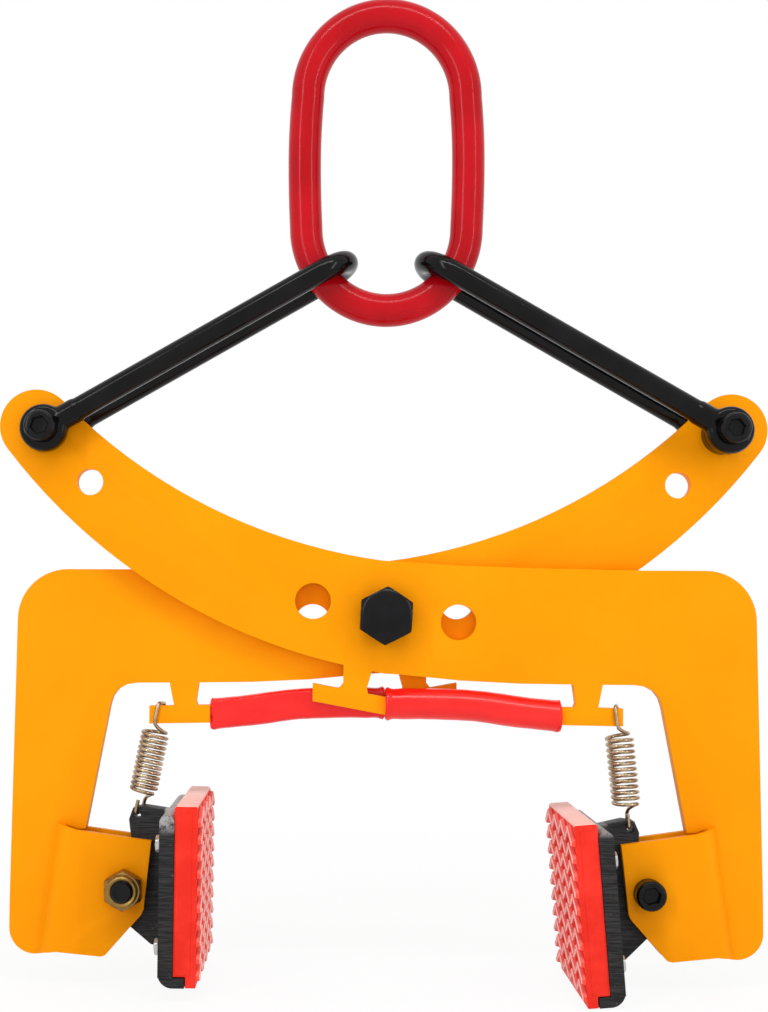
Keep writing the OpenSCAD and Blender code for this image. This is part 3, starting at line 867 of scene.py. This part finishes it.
def forged_shackles(tree):
    """Each shackle's bar, swept round its bow, run into its two eyes as forging leaves them."""
    reach = LINK_WIDTH / 2 - SHACKLE_BAR / 2 - 1.0 * MM
    bow = Vector((-reach * math.cos(BOW_ANGLE), 0, LINK_LOW - reach * math.sin(BOW_ANGLE)))
    along = bow - ARM_END
    place = Matrix.Translation(ARM_END) @ Matrix.Rotation(-math.atan2(along.z, along.x), 4, "Y")
    path = shackle_path(along.length)
    legs = (-SHACKLE_Y, SHACKLE_Y)
    for side in ("left", "right"):
        node = side + "_shackle"
        bar = grown(point_line("bar", path), tree, bar_diameter=SHACKLE_BAR, section_points=32)
        eyes = [shackle_eye(y) for y in legs]
        necks = [shackle_neck(y, tree) for y in legs]
        work = joined(node + "_forged", bar, *eyes, *necks)
        work.data.transform(HALF_TURN @ place if side == "right" else place)
        remesh = work.modifiers.new("skin", "REMESH")
        remesh.mode = "VOXEL"
        remesh.voxel_size = 0.75 * MM
        soft = work.modifiers.new("soft", "SMOOTH")
        soft.factor = 0.5
        soft.iterations = 9
        made = plain_copy(work)
        for face in made.data.polygons:
            face.use_smooth = True
        settle(made, SHACKLE, node)


def root_edges(side):
    """Picks the edges where a leg's cheeks leave its plate, which stay unbroken."""
    point = Vector((side * ROOT_POINT.x, 0, ROOT_POINT.z))
    across = Vector((side * math.cos(ROOT_ANGLE), 0, math.sin(ROOT_ANGLE)))

    def kept(edge):
        return all(abs((v.co - point).dot(across)) < 0.05 * MM for v in edge.verts)
    return kept


def arm_plates():
    """Each arm and its two welded cheeks as one plate with its edges broken."""
    for name, side in (("front", 1), ("rear", -1)):
        nodes = [name + "_arm", name + "_cheek_outer", name + "_cheek_inner"]
        made = broken_edges(name + "_arm_plate", merged_nodes(*nodes), 0.8 * MM, 3, root_edges(side))
        settle(made, ARM, *nodes)


def bar_height_at(x):
    """Height of the carrying bar's middle at x, on a smooth line through its bends, in millimetres."""
    line = BAR_LINE
    x = min(max(x, line[0][0]), line[-1][0])
    k = max(i for i in range(len(line) - 1) if line[i][0] <= x)
    before = line[max(k - 1, 0)]
    after = line[min(k + 2, len(line) - 1)]
    (x0, z0), (x1, z1) = line[k], line[k + 1]
    slope0 = (z1 - before[1]) / (x1 - before[0])
    slope1 = (after[1] - z0) / (after[0] - x0)
    run = x1 - x0
    t = (x - x0) / run
    return ((2 * t ** 3 - 3 * t ** 2 + 1) * z0 + (t ** 3 - 2 * t ** 2 + t) * run * slope0
            + (3 * t ** 2 - 2 * t ** 3) * z1 + (t ** 3 - t ** 2) * run * slope1)


def bar_slope_at(x):
    """Slope of the carrying bar at x, none at the sleeve's ends, which stay square."""
    if 0.6 < x < SLEEVE_END - 0.6:
        return bar_height_at(x + 0.5) - bar_height_at(x - 0.5)
    return 0.0


def hump(x, middle, spread):
    """A bell curve of height 1."""
    return math.exp(-((x - middle) / spread) ** 2)


def sleeve_radius(x):
    """Radius of a dipped sleeve at x: a rolled bead at each end, a waist, and a slack, uneven wall."""
    beads = 0.7 * hump(x, 1.3, 1.1) + 0.35 * hump(x, SLEEVE_END - 1.0, 1.0)
    waist = 0.25 * hump(x, 5.0, 2.5)
    wave = 0.06 * math.sin(x * 0.21 + 0.6) + 0.03 * math.sin(x * 0.63)
    return SLEEVE_R + (beads - waist + wave) * MM


def sleeve_rows():
    """Rows of (x in millimetres, radius) along a sleeve, tucked in on the bar at both ends."""
    stations = 90
    tucked = BAR_HEIGHT * 0.62
    rows = [(1.6, tucked), (0.35, SLEEVE_R - 0.9 * MM), (0.0, SLEEVE_R - 0.2 * MM)]
    for i in range(1, stations):
        x = SLEEVE_END * i / stations
        rows.append((x, sleeve_radius(x)))
    return rows + [(SLEEVE_END, SLEEVE_R - 0.1 * MM), (SLEEVE_END + 0.35, SLEEVE_R - 0.8 * MM),
                   (SLEEVE_END - 0.8, tucked)]


def grip_sleeves():
    """Dipped sleeves on the carrying bars, flat on the side that lies against the other arm."""
    points = 48
    for name in ("front_grip", "rear_grip"):
        bm = bmesh.new()
        made = []
        for x, r in sleeve_rows():
            ring = []
            for i in range(points):
                angle = 2 * math.pi * i / points
                y = min(r * math.cos(angle), SLEEVE_FLAT)
                up = r * math.sin(angle)
                ring.append(bm.verts.new((x * MM - up * bar_slope_at(x), ARM_Y + y,
                                          PIVOT_Z + bar_height_at(x) * MM + up)))
            made.append(ring)
        for low, high in zip(made, made[1:]):
            skin(bm, low, high)
        bm.faces.new(made[0])
        bm.faces.new(made[-1])
        obj = finished(name + "_sleeve", bm, 60)
        if name == "rear_grip":
            obj.data.transform(HALF_TURN)
        settle(obj, GRIP, name)


# Jaws

def jaw_place(side):
    """A jaw's frame: its bolt, the arm's plane, its lean and how far up it sits. Its face looks to -X."""
    if side == "right":
        spot = Matrix.Translation(Vector((JAW_PIN.x, ARM_Y, PIVOT_Z + JAW_PIN.z)))
        return spot @ Matrix.Rotation(-RIGHT_LEAN, 4, "Y") @ Matrix.Translation((0, 0, RIGHT_LIFT))
    spot = Matrix.Translation(Vector((-JAW_PIN.x, -ARM_Y, PIVOT_Z + JAW_PIN.z)))
    return spot @ Matrix.Rotation(LEFT_LEAN, 4, "Y") @ Matrix.Translation((0, 0, LEFT_LIFT)) @ HALF_TURN


def prism(profile, y0, y1):
    """A closed prism of an X-Z outline between two Y planes."""
    bm = bmesh.new()
    low = [bm.verts.new((x, y0, z)) for x, z in profile]
    high = [bm.verts.new((x, y1, z)) for x, z in profile]
    bm.faces.new(low)
    bm.faces.new(high[::-1])
    n = len(profile)
    for i in range(n):
        j = (i + 1) % n
        bm.faces.new((low[j], low[i], high[i], high[j]))
    bmesh.ops.recalc_face_normals(bm, faces=bm.faces)
    return bm


def pad_body(side):
    """Moulded rubber block with a shallow raised panel on each flank."""
    half = JAW_WIDTH / 2
    panel_rise = 0.45 * MM
    border = 2.7 * MM
    back = -PAD_BACK - 0.1 * MM
    lip = -PAD_BACK - 6.4 * MM
    step = LIP_TOP + 0.5 * MM
    profile = [(-PAD_FACE, PAD_LOW), (lip, PAD_LOW), (lip, step), (back, step),
               (back, PAD_HIGH - 1.2 * MM), (back - 1.2 * MM, PAD_HIGH),
               (-PAD_FACE + 1 * MM, PAD_HIGH), (-PAD_FACE, PAD_HIGH - 1 * MM)]
    panel_back = back - 0.9 * MM
    panel_low = LIP_TOP + 1.4 * MM
    panel_high = PAD_HIGH - border - 1.1 * MM
    panel = [(-PAD_FACE + border, panel_low), (panel_back, panel_low),
             (panel_back, panel_high), (-PAD_FACE + border, panel_high)]
    side_y = half - panel_rise
    block = broken_edges(side + "_pad_block", prism(profile, -side_y, side_y), 0.5 * MM)
    flank = broken_edges(side + "_pad_flank", prism(panel, -half, half), 0.35 * MM)
    return joined(side + "_pad_body", block, flank)


def pad_ribs(side, tree):
    """Zigzag ribs up the pad, each a prism with its crest edges broken."""
    half = JAW_WIDTH / 2 - 0.1 * MM
    rise = 3.4 * MM
    width = 4.2 * MM
    bends = 8
    first = PAD_HIGH - 6.2 * MM
    crest = -PAD_FACE - RIB_HEIGHT
    foot = -PAD_FACE + 0.3 * MM
    bm = bmesh.new()
    rows = []
    for x, share in ((crest, 0.30), (foot, 0.50)):
        for edge in (1, -1):
            row = []
            for i in range(bends + 1):
                y = -half + 2 * half * i / bends
                z = (rise if i % 2 else -rise) + edge * width * share
                row.append(bm.verts.new((x, y, z)))
            rows.append(row)
    crest_high, crest_low, foot_high, foot_low = rows
    walls = ((crest_high, crest_low), (foot_high, crest_high), (crest_low, foot_low), (foot_low, foot_high))
    for i in range(bends):
        for a, b in walls:
            bm.faces.new((a[i], a[i + 1], b[i + 1], b[i]))
    for i in (0, bends):
        bm.faces.new((crest_high[i], crest_low[i], foot_low[i], foot_high[i]))
    bmesh.ops.recalc_face_normals(bm, faces=bm.faces)
    one = broken_edges(side + "_one_rib", bm, 0.5 * MM, 1)
    one.data.transform(Matrix.Translation((0, 0, first)))
    return grown(one, tree, count=RIB_COUNT, step=(0, 0, -RIB_STEP))


def mark_painted_sheen(mesh):
    """Stores how much painted sheen each face of a pad gets: painted highlights on its top and on the broken
    crest edges of its ribs, and a little painted light on the ribs' other faces, more on those that face up.
    """
    rubbed = mesh.attributes.new("rubbed", "FLOAT", "FACE")
    values = []
    for face in mesh.polygons:
        height = -PAD_FACE - face.center.x
        if height < 0.1 * MM:
            # Painted highlight on the pad's top faces.
            on_top = face.normal.z > 0.35 and face.center.z > PAD_HIGH - 3 * MM
            values.append(1.0 if on_top else 0.0)
        # Painted highlight on the ribs' broken crest edges.
        elif 0.3 < abs(face.normal.x) < 0.97 and height > RIB_HEIGHT - 0.7 * MM:
            values.append(1.0)
        else:
            # Painted light on the ribs' other faces, paler where they face up.
            values.append(0.22 if face.normal.z > 0.3 else 0.10)
    rubbed.data.foreach_set("value", values)


def moulded_pad(side, place, tree):
    """Rubber block and ribs in one piece."""
    pad = joined(side + "_pad_moulded", pad_body(side), pad_ribs(side, tree))
    mark_painted_sheen(pad.data)
    pad.data.transform(place)
    settle(pad, PAD, side + "_pad")


def carrier_plate(side):
    node = side + "_carrier"
    settle(broken_edges(node + "_plate", merged_nodes(node), 0.7 * MM), CARRIER, node)


def stud_nuts(side, place, tree):
    """Hexagon nuts on their studs, with washers, on the back of the carrier."""
    low, full = (hexagon(8 * MM, corner * MM) for corner in (4.3, 4.6))
    rows = [(0.05, 0), (0.05, 4.5 * MM), (0.2, 4.7 * MM), (0.6, 4.7 * MM), (0.7, 4.5 * MM),
            (0.7, low), (1.2, full), (2.7, full), (3.1, low), (3.25, 3.9 * MM),
            (3.25, 3.1 * MM), (3.4, 2.9 * MM), (3.5, 2.5 * MM), (3.5, 0)]
    one = turned(side + "_stud_nuts", [(y * MM, radius) for y, radius in rows], 0, 0)
    one.data.transform(Matrix.Rotation(math.pi / 2, 4, "X"))
    nuts = grown(one, tree)
    middle = Matrix.Translation((-CARRIER_BACK, 0, (STUD_LOW + STUD_HIGH) / 2))
    nuts.data.transform(place @ middle @ Matrix.Rotation(math.pi / 2, 4, "Y"))
    node = side + "_pad_screws"
    settle(outward(nuts, 35), ZINC, node)


def ear_weld(side, place, tree):
    """Weld beads in the two corners between the carrier and its ear."""
    x = -CARRIER_BACK + 0.5 * MM
    low = -33 * MM
    step = 0.4 * MM
    count = 173
    beads = []
    for flank in (-1, 1):
        y = flank * (EAR_HALF + 0.4 * MM)
        line = [Vector((x, y, low + step * i)) for i in range(count)]
        bead = grown(point_line("bead", line), tree, bar_diameter=4.6 * MM, section_points=14,
                     swell=0.09, swell_pitch=2.1 * MM)
        beads.append(outward(bead, 70))
    weld = joined(side + "_ear_weld", *beads)
    weld.data.transform(place)
    settle(weld, CARRIER, side + "_carrier", replaced=False)


def jaws(rib_tree, nut_tree, weld_tree):
    """Both jaws: rubber pad, carrier with its welded ear, and the nuts that hold the pad."""
    for side in ("right", "left"):
        place = jaw_place(side)
        moulded_pad(side, place, rib_tree)
        carrier_plate(side)
        stud_nuts(side, place, nut_tree)
        ear_weld(side, place, weld_tree)


def rounded_hook(half, depth, corner):
    """A flat hook in the Y-Z plane, from one side over the top at Z = 0 to the other side."""
    steps = 6
    path = [Vector((0, half, -depth))]
    for i in range(steps + 1):
        angle = math.pi / 2 * i / steps
        y = half - corner + corner * math.cos(angle)
        path.append(Vector((0, y, -corner + corner * math.sin(angle))))
    return path + [Vector((0, -p.y, p.z)) for p in path[::-1]]


def coil_path(coil_top, coil_low):
    """The spring's coils, a little short of full turns at each end, where the hooks leave them."""
    r = (SPRING_OD - SPRING_WIRE) / 2
    total = SPRING_TURNS * SPRING_TURN_POINTS
    path = []
    for i in range(2, total - 1):
        turn = 2 * math.pi * i / SPRING_TURN_POINTS
        z = coil_top + (coil_low - coil_top) * i / total
        path.append(Vector((r * math.cos(turn), r * math.sin(turn), z)))
    return path


def spring_path(lean, lift, bar_hook):
    """Wire of one jaw spring, down from Z = 0: hook over the bar, coils, hook through the ear.

    Also gives the spring's tilt and its length between the hooks. The hooks' bends are smoothed."""
    eye = Matrix.Rotation(-lean, 3, "Y") @ (EAR_EYE + Vector((0, 0, lift))) + JAW_PIN
    run = (bar_hook - eye).length - 0.8 * MM
    wire_gap = SPRING_WIRE / 2 + 0.3 * MM
    bar_half = PLATE_T / 2 + wire_gap
    ear_half = EAR_HALF + wire_gap
    coil_low = -run + 11.5 * MM
    top = Matrix.Rotation(math.radians(-14), 3, "Z")
    low = Matrix.Rotation(math.radians(-8), 3, "Z")

    path = [top @ p for p in rounded_hook(bar_half, 10.0 * MM, 2.0 * MM)]
    path.append(top @ Vector((0, -5.0, -11.4)) * MM)
    path += [Vector(p) * MM for p in ((1.0, -3.9, -13.2), (3.2, -1.9, -14.6), (5.6, 0.0, -15.3))]
    path += coil_path(-15.6 * MM, coil_low)
    coil_end = len(path)
    path += [Vector((5.6 * MM, 0.6 * MM, coil_low - 0.4 * MM)),
             Vector((3.6 * MM, 3.2 * MM, coil_low - 1.5 * MM)),
             low @ Vector((0.9 * MM, ear_half - 1.2 * MM, coil_low - 3.4 * MM))]
    path += [low @ Vector((0, p.y, -run - p.z)) for p in rounded_hook(ear_half, 7.5 * MM, 2.4 * MM)]

    top_end = 24
    low_start = coil_end - 6
    smooth = list(path)
    for i in range(1, len(path) - 1):
        if i < top_end or i > low_start:
            smooth[i] = (path[i - 1] + 2 * path[i] + path[i + 1]) / 4
    tilt = math.atan2(eye.x - bar_hook.x, bar_hook.z - eye.z)
    return smooth, tilt, run


def jaw_springs(tree):
    """Coil springs from the carrying bars to the jaws' ears."""
    for side, lean, lift, arm, jaw in (("right", RIGHT_LEAN, RIGHT_LIFT, "front_arm", "right_jaw"),
                                       ("left", LEFT_LEAN, LEFT_LIFT, "rear_arm", "left_jaw")):
        hook = BAR_HOOK[side]
        path, tilt, run = spring_path(lean, lift, hook)
        spot = Matrix.Translation(Vector((hook.x, ARM_Y, hook.z + PIVOT_Z)))
        place = spot @ Matrix.Rotation(-tilt, 4, "Y")
        if side == "left":
            place = HALF_TURN @ place @ HALF_TURN
        line = point_line(side + "_spring_coil", [place @ p for p in path])
        made = outward(grown(line, tree, bar_diameter=SPRING_WIRE, section_points=12), 60)
        made.data.name = made.name
        coil_end = place @ Vector((0, 0, -run + 9 * MM))
        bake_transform(made)
        slot_of_node(side + "_spring")
        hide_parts(side + "_spring")


# Studio and camera

def lamp(name, place, size, power):
    """A soft box that looks at the clamp's middle."""
    data = bpy.data.lights.new(name, "AREA")
    data.shape = "RECTANGLE"
    data.size, data.size_y = size
    data.energy = power
    obj = new_object(name, data)
    obj.location = place
    aim = Vector((0, 0, -0.25))
    obj.rotation_euler = (aim - Vector(place)).to_track_quat("-Z", "Y").to_euler()


def studio():
    """Even grey light with a white background, and three narrow lamps for the highlights."""
    scene = bpy.context.scene
    scene.view_settings.view_transform = "Standard"
    air = Shop("studio_air", world=True)
    felt = air.node("ShaderNodeBackground", Color=(1, 1, 1), Strength=0.66)
    white = air.node("ShaderNodeBackground", Color=(1, 1, 1), Strength=1.0)
    air.blend_of(air.seen(), felt, white)
    scene.world = air.holder
    lamp("key", (-0.95, -1.25, 0.35), (0.14, 1.3), 5.5)
    lamp("fill", (1.15, -1.0, 0.0), (0.12, 1.3), 4.2)
    lamp("top", (0.0, -0.85, 0.95), (1.3, 0.22), 7.8)


def floor():
    """Pale floor that keeps the clamp's shadow and runs out to white."""
    low = cad_box[0][2]
    reach = 6.0
    mesh = bpy.data.meshes.new("floor")
    corners = [(-reach, -reach, low), (reach, -reach, low), (reach, reach, low), (-reach, reach, low)]
    mesh.from_pydata(corners, [], [(0, 1, 2, 3)])
    shop = Shop("pale_floor")
    flat = shop.stretched((1, 1, 0))
    away = shop.take("ShaderNodeVectorMath", "Value", {"operation": "LENGTH"}, i0=flat)
    white = 0.92 + shop.band(away, 0.22, 0.75) * 0.08
    plain = shop.node("ShaderNodeBsdfDiffuse", Color=(0.93, 0.93, 0.93))
    glow = shop.node("ShaderNodeEmission", Color=(1, 1, 1), Strength=1.0)
    shop.blend_of(shop.seen() * white, plain, glow)
    mesh.materials.append(shop.holder)
    new_object("floor", mesh)


def camera():
    """Camera with the photograph's view: distance, principal point and roll."""
    data = bpy.data.cameras.new("camera")
    data.sensor_fit = "AUTO"
    data.sensor_width = SENSOR
    data.lens = CAMERA_DISTANCE / PIXEL * SENSOR / IMAGE_H
    data.shift_x = (IMAGE_W / 2 - PRINCIPAL_X) / IMAGE_H
    data.shift_y = (PRINCIPAL_Y - IMAGE_H / 2) / IMAGE_H
    data.clip_start = 0.01
    data.clip_end = 50
    obj = new_object("camera", data)
    obj.location = ((PRINCIPAL_X - PIVOT_PIXEL[0]) * PIXEL, -CAMERA_DISTANCE,
                    PIVOT_Z + (PIVOT_PIXEL[1] - PRINCIPAL_Y) * PIXEL)
    obj.rotation_euler = (math.pi / 2, -ROLL, 0)
    bpy.context.scene.camera = obj


camera()
studio()
floor()
hanging_link(round_bar_tree(LINK))
forged_shackles(round_bar_tree(SHACKLE))
arm_plates()
grip_sleeves()
pivot_set()
shackle_fasteners()
jaw_fasteners()
spacers()
jaws(row_tree(PAD), corners_tree(ZINC), round_bar_tree(CARRIER))
jaw_springs(round_bar_tree(SPRING))
